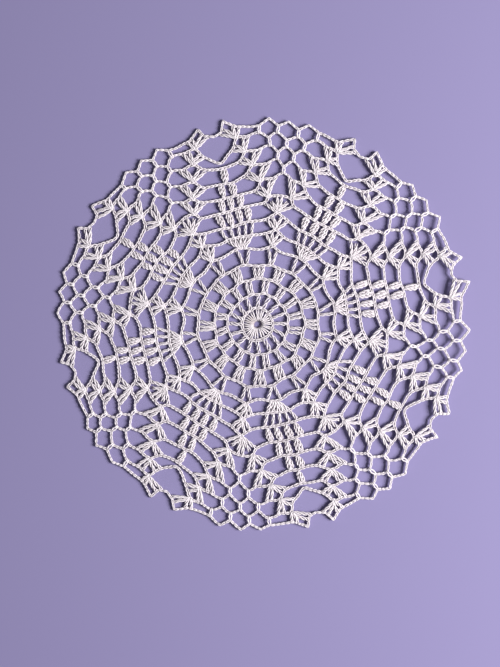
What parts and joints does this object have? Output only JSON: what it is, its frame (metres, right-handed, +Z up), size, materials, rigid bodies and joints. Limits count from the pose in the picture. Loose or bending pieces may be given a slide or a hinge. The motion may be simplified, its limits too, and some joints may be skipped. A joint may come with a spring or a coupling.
{
  "type": "lace doily",
  "caption": "Round crocheted doily with pineapple motifs, open chain nets and a notched rim, which lies flat as a mat or table decoration.",
  "frame": {"origin": "the middle of the doily, on the surface that it lies on", "axes": "+Z up, out of the doily's right side; +X and +Y in the plane of the table, with the slightly lifted rim towards +X"},
  "size_m": [0.1905, 0.1904, 0.003],
  "materials": {
    "cotton": "matt mercerised cotton thread"
  },
  "bodies": {
    "root": {"doily": "cotton"}
  },
  "joints": []
}
